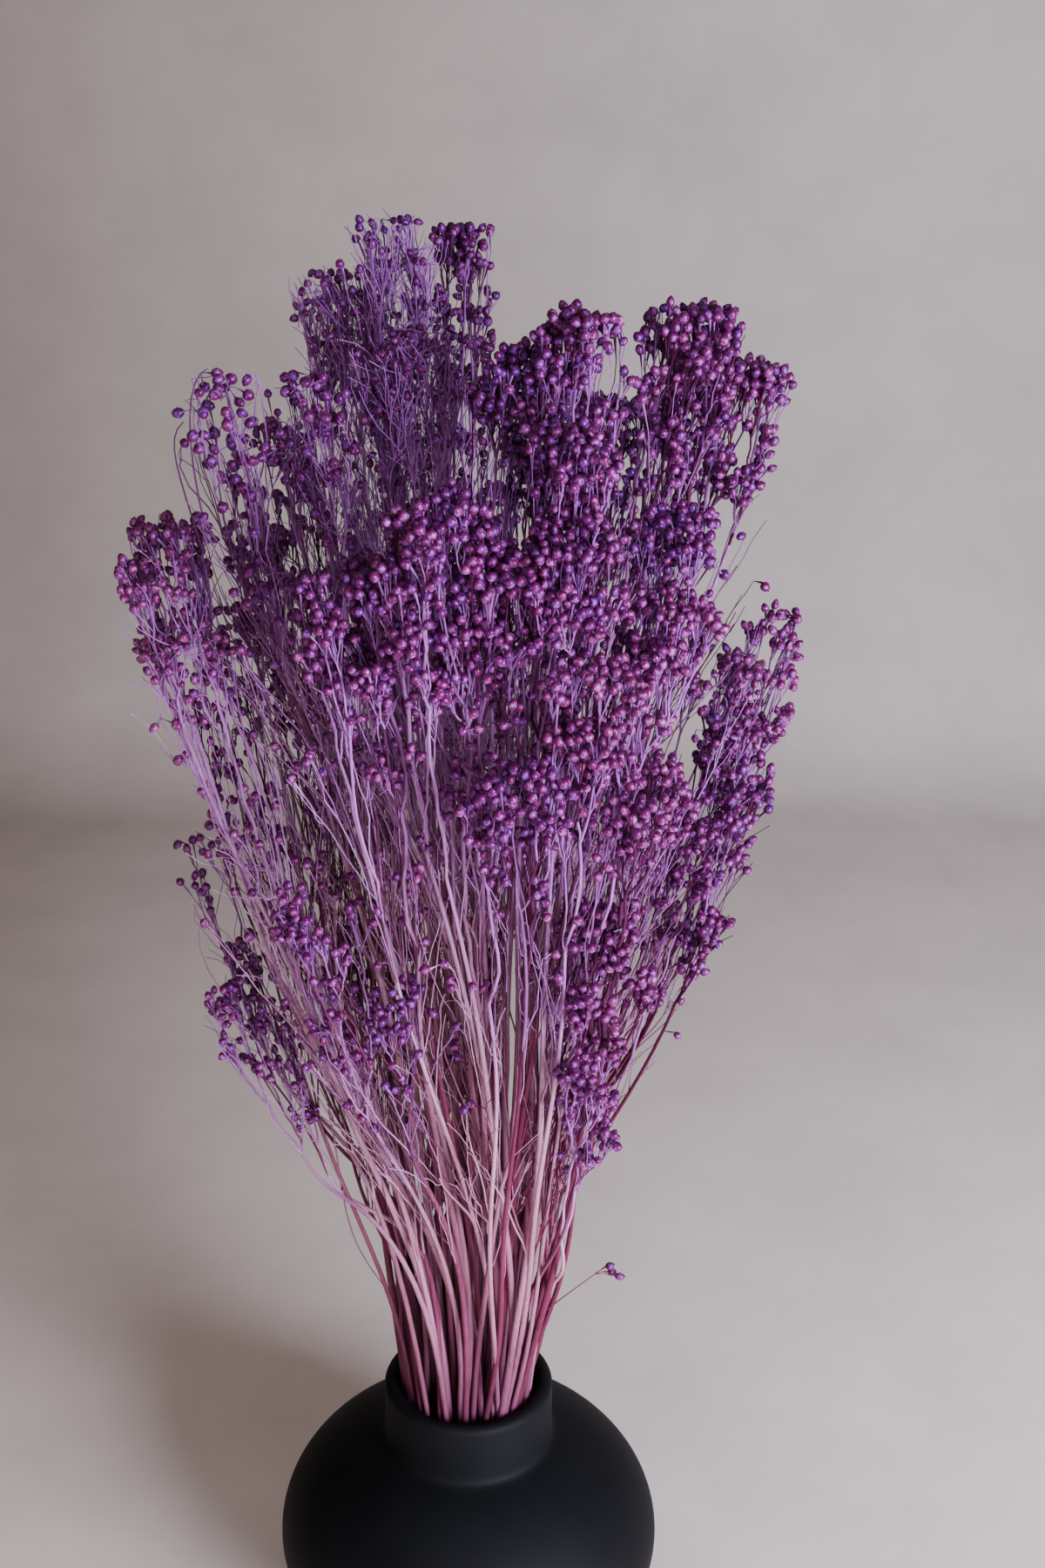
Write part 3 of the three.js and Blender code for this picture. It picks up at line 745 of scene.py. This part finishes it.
def growSpray(i, place):
    # one head on one to four stems that part near it
    head = heads[i]
    draw = random.Random(seeds["twigs"] + i)
    spray = {"lines": [], "pods": []}
    top = Vector(head["top"])
    up = Vector((0, 0, vase["height"]))
    axis = ((top - place - up).normalized() + Vector((0, 0, 0.25))).normalized()
    fork = top - axis * head["fall"]
    reach = (fork - place - up).length
    rise = (up + place * (1 - neckRings["footSpread"])).normalized()
    climb = climbOf(head["top"])
    leaving = place + up + rise * reach * climb
    guide = interpolate_bezier(place + up, leaving, fork - axis * reach * 0.3, fork, 24)
    guide += [fork.lerp(top, k / 5) for k in range(1, 6)]
    tips = tipsOfHead(head, guide, draw)
    stemCount = 1 + sum(len(tips) > most for most in twigs["moreStems"])
    turn = draw.uniform(0, fullTurn)
    groups = {}
    for tip in tips:
        out = (tip[0] - top).cross(axis)
        sector = int((math.atan2(out.y, out.x) + turn) / (2 * math.pi) * stemCount) % stemCount
        groups.setdefault(sector, []).append(tip)
    limit = vase["neckRadius"] - vase["wall"] - twigs["stemRadius"][1] - 0.2
    for number, group in enumerate(groups.values()):
        # the first stem of a spray stands close to the CAD's one, and the others further off
        aside, slant = (neckRings["spread"], neckRings["askew"]) if number else neckRings["first"]
        root = place + sideways(Vector((0, 0, 1)), turn + number * 2.1) * aside
        root *= min(1, limit / root.length)
        neck = root + up
        askew = Matrix.Rotation(draw.uniform(-1, 1) * slant, 3, "Z")
        foot = askew @ root * neckRings["footSpread"] + Vector((0, 0, vase["floor"] + neckRings["seatGap"]))
        rise = (neck - foot).normalized()
        sway = [Vector([draw.uniform(-1, 1) for _ in range(3)]) * twigs["sway"] for _ in range(3)]

        def stem(knot, arrive):
            reach = (knot - neck).length
            leaving = neck + rise * reach * climb
            upper = interpolate_bezier(neck, leaving, knot - arrive * reach * 0.3, knot, 16)
            for k, point in enumerate(upper):
                waves = [sway[w] * math.sin(math.pi * (w + 1) * (k / 15)) / (w + 1) for w in range(3)]
                point += sum(waves, Vector())
            return [foot, foot.lerp(neck, 0.5)] + upper

        first = len(spray["lines"])
        growFork(neck, rise, group, axis, head["curl"], spray, draw.randrange(3), draw, stem)
        shootCount = round(shoots["count"] * (0.5 + 1.7 * head["curl"]))
        growShoots(spray["lines"][first][0][2:], shootCount, head, spray, draw)
    growHair(hair["sprays"].get(i + 1, 0), axis, head, spray, draw)
    for line in spray["lines"]:
        partLine(line[0])
    for stray in strays:
        if stray["spray"] == i + 1:
            growStray(stray, spray, draw)
    return spray


def ringSection(sides):
    # a closed ring of points with a radius of 1 mm
    curve = bpy.data.curves.new("ringSection", "CURVE")
    spline = curve.splines.new("POLY")
    spline.points.add(sides - 1)
    spline.use_cyclic_u = True
    for k, point in enumerate(spline.points):
        turn = 2 * math.pi * k / sides
        point.co = (math.cos(turn) * mm, math.sin(turn) * mm, 0, 1)
    return bpy.data.objects.new("ringSection", curve)


def tubes(lines, section):
    # round tubes along lines of points, each tapering from its first radius to its second
    curve = bpy.data.curves.new("tubes", "CURVE")
    curve.dimensions = "3D"
    curve.bevel_mode = "OBJECT"
    curve.bevel_object = section
    curve.use_fill_caps = True
    for points, thick, slim, swell, count, tone in lines:
        spline = curve.splines.new("POLY")
        last = len(points) - 1
        spline.points.add(last)
        spline.points.foreach_set("co", [c for p in points for c in (p.x * mm, p.y * mm, p.z * mm, 1)])
        power = twigs["stemTaper"] if count > twigs["stemTips"] else 1
        radii = [thick + (slim - thick) * (i / last) ** power for i in range(last + 1)]
        if swell:
            radii[-1] = swell
        spline.points.foreach_set("radius", radii)
    holder = bpy.data.objects.new("tubes", curve)
    bpy.context.scene.collection.objects.link(holder)
    mesh = bpy.data.meshes.new_from_object(holder.evaluated_get(bpy.context.evaluated_depsgraph_get()))
    bpy.data.objects.remove(holder)
    bpy.data.curves.remove(curve)
    return mesh


def setAttribute(mesh, name, value):
    attribute = mesh.attributes.new(name, "FLOAT", "POINT")
    values = value if isinstance(value, list) else [value] * len(mesh.vertices)
    attribute.data.foreach_set("value", values)


def makeStems(name, spray, head):
    # thick stems are rounder than fine twigs, and each has one of three tones of dye, which
    # changes along the way from the vase's neck to the top of the head, with painted shade on the deep tone
    # in the heads
    foot, rise = stemDye["foot"], head["top"][2] - stemDye["foot"]
    shape = bmesh.new()
    for least, most, section in sections:
        for tone in range(3):
            lines = [line for line in spray["lines"] if least <= line[4] < most and line[5] == tone]
            if lines:
                mesh = tubes(lines, section)
                dye = stemDye["least"] + stemDye["step"] * tone + head["fade"]
                setAttribute(mesh, "stemTone", min(1, max(0, dye)))
                setAttribute(mesh, "stemRise", [(vert.co.z / mm - foot) / rise for vert in mesh.vertices])
                shape.from_mesh(mesh)
                bpy.data.meshes.remove(mesh)
    mesh = bpy.data.meshes.new(name)
    shape.to_mesh(mesh)
    shape.free()
    return newObject(name, mesh, stemMaterial)


def podTemplate():
    # one ribbed, pointed capsule that stands on its foot
    shape = bmesh.new()
    bmesh.ops.create_uvsphere(shape, u_segments=pod["sides"], v_segments=pod["rings"], radius=1)
    for vert in shape.verts:
        turn = math.atan2(vert.co.y, vert.co.x)
        pinch = 1 - pod["rib"] * (1 - math.cos(turn * pod["sides"] / 2)) / 2
        belly = 1 - pod["belly"] * vert.co.z
        vert.co.x *= pinch * belly
        vert.co.y *= pinch * belly
        if vert.co.z > 0.99:
            vert.co.z += pod["tip"] / pod["height"]
    mesh = bpy.data.meshes.new("podTemplate")
    shape.to_mesh(mesh)
    shape.free()
    setAttribute(mesh, "podRise", [min(1, (vert.co.z + 1) / 2) for vert in mesh.vertices])
    return mesh


def makePods(name, spray, template, head, draw):
    shape = bmesh.new()
    sprayTone = draw.gauss(0, pod["sprayTone"]) + head.get("dust", 0)
    curl = head["curl"]
    # a loose head has slightly smaller pods, and the loosest of all have larger ones
    plump = 1 - 0.1 * (curl > 0.7) + 1.2 * max(0, min(curl, 1) - 0.8)
    for centre, axis in spray["pods"]:
        width = pod["radius"] * draw.uniform(*pod["widths"]) * plump
        length = pod["height"] * draw.uniform(*pod["lengths"]) * plump
        spin = Matrix.Rotation(draw.uniform(0, pod["spin"]), 4, "Z")
        turn = axis.to_track_quat("Z", "Y").to_matrix().to_4x4() @ spin
        size = Matrix.Diagonal((width * mm, width * mm, length * mm, 1))
        copy = template.copy()
        copy.transform(Matrix.Translation(centre * mm) @ turn @ size)
        isUndyed = centre.z < pod["undyedBelow"] and draw.random() < pod["undyed"]
        # painted light: pods lower down are made paler, to lift them from the shade that falls there
        paintedLift = pod["paintedLift"] * min(1, max(0, pod["paintedLiftBelow"] - centre.z) / 40)
        tone = 1.0 if isUndyed else min(0.95, max(0, draw.gauss(*pod["tone"]) + sprayTone + paintedLift))
        setAttribute(copy, "podTone", tone)
        shape.from_mesh(copy)
        bpy.data.meshes.remove(copy)
    mesh = bpy.data.meshes.new(name)
    shape.to_mesh(mesh)
    shape.free()
    return newObject(name, mesh, podMaterial)


stemDye = {"foot": 70, "least": 0.12, "step": 0.36}
places = placesInNeck()
template = podTemplate()
# how round a twig is, by how many tips it carries
sections = [
    (40, 1e9, ringSection(8)), (10, 40, ringSection(6)), (3, 10, ringSection(4)), (0, 3, ringSection(3)),
]
podCount = 0
for i in range(len(heads)):
    node = f"spray_{i + 1:02d}"
    spray = growSpray(i, places[i])
    podCount += len(spray["pods"])
    draw = random.Random(seeds["pods"] + i)
    stems = makeStems(f"{node}_stems", spray, heads[i])
    pods = makePods(f"{node}_pods", spray, template, heads[i], draw)
    for piece, slot in ((stems, "dyed_stems"), (pods, "dyed_pods")):
        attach(piece, "root")
        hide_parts(node)
for least, most, section in sections:
    bpy.data.curves.remove(section.data)
faces = sum(len(p.vertices) - 2 for o in bpy.data.objects if o.type == "MESH" and not o.hide_render
            for p in o.data.polygons)
print("bunch made:", podCount, "pods,", faces, "triangles in all")


# The stage: a sheet of paper that curves up behind the bunch

stage = {"width": 3600, "front": -1500, "back": 740, "bend": 170, "height": 2200}


def makeStage():
    shape = bmesh.new()
    profile = [(stage["front"], 0), (stage["back"], 0), (stage["back"], stage["height"])]
    verts = [shape.verts.new((-stage["width"] / 2 * mm, y * mm, z * mm)) for y, z in profile]
    edges = [shape.edges.new(pair) for pair in zip(verts, verts[1:])]
    bmesh.ops.bevel(shape, geom=[verts[1]], offset=stage["bend"] * mm, offset_type="OFFSET", segments=16,
                    profile=0.5, affect="VERTICES", material=-1)
    swept = bmesh.ops.extrude_edge_only(shape, edges=shape.edges[:])
    moved = [g for g in swept["geom"] if isinstance(g, bmesh.types.BMVert)]
    bmesh.ops.translate(shape, verts=moved, vec=(stage["width"] * mm, 0, 0))
    bmesh.ops.recalc_face_normals(shape, faces=shape.faces)
    mesh = bpy.data.meshes.new("paperSweep")
    shape.to_mesh(mesh)
    shape.free()
    newObject("paperSweep", mesh, paperBackdrop())


makeStage()


# Light and camera

def aim(thing, target):
    direction = Vector(target) * mm - thing.location
    thing.rotation_euler = direction.to_track_quat("-Z", "Y").to_euler()


def addLight(name, place, target, size, power, colour):
    light = bpy.data.lights.new(name, "AREA")
    light.shape = "DISK"
    light.size = size * mm
    light.energy = power
    light.color = linear(colour)[:3]
    lamp = bpy.data.objects.new(name, light)
    lamp.location = Vector(place) * mm
    aim(lamp, target)
    bpy.context.scene.collection.objects.link(lamp)


addLight("windowLight", (620, -780, 330), (0, 0, 220), 600, 32, "#ebe9ff")
addLight("skyLight", (100, -800, 1200), (0, 0, 280), 1300, 3, "#f0ecff")
addLight("roomFill", (-500, -950, 200), (0, 0, 220), 1000, 4.5, "#ffeae0")

world = bpy.data.worlds.new("room")
bpy.context.scene.world = world
world.use_nodes = True
world.node_tree.nodes["Background"].inputs["Color"].default_value = linear("#e0c7b5")
world.node_tree.nodes["Background"].inputs["Strength"].default_value = 0.12

view = {"place": (0, -504.3, 489.3), "pitch": 23.5, "lens": 50, "film": 36, "offCentre": 62 / 1800}
lens = bpy.data.cameras.new("camera")
lens.sensor_fit = "VERTICAL"
lens.sensor_height = view["film"]
lens.lens = view["lens"]
lens.shift_x = view["offCentre"]
lens.clip_start = 0.01
camera = bpy.data.objects.new("camera", lens)
camera.location = Vector(view["place"]) * mm
camera.rotation_euler = (math.radians(90 - view["pitch"]), 0, 0)
bpy.context.scene.collection.objects.link(camera)
bpy.context.scene.camera = camera
print("stage, light and camera set")
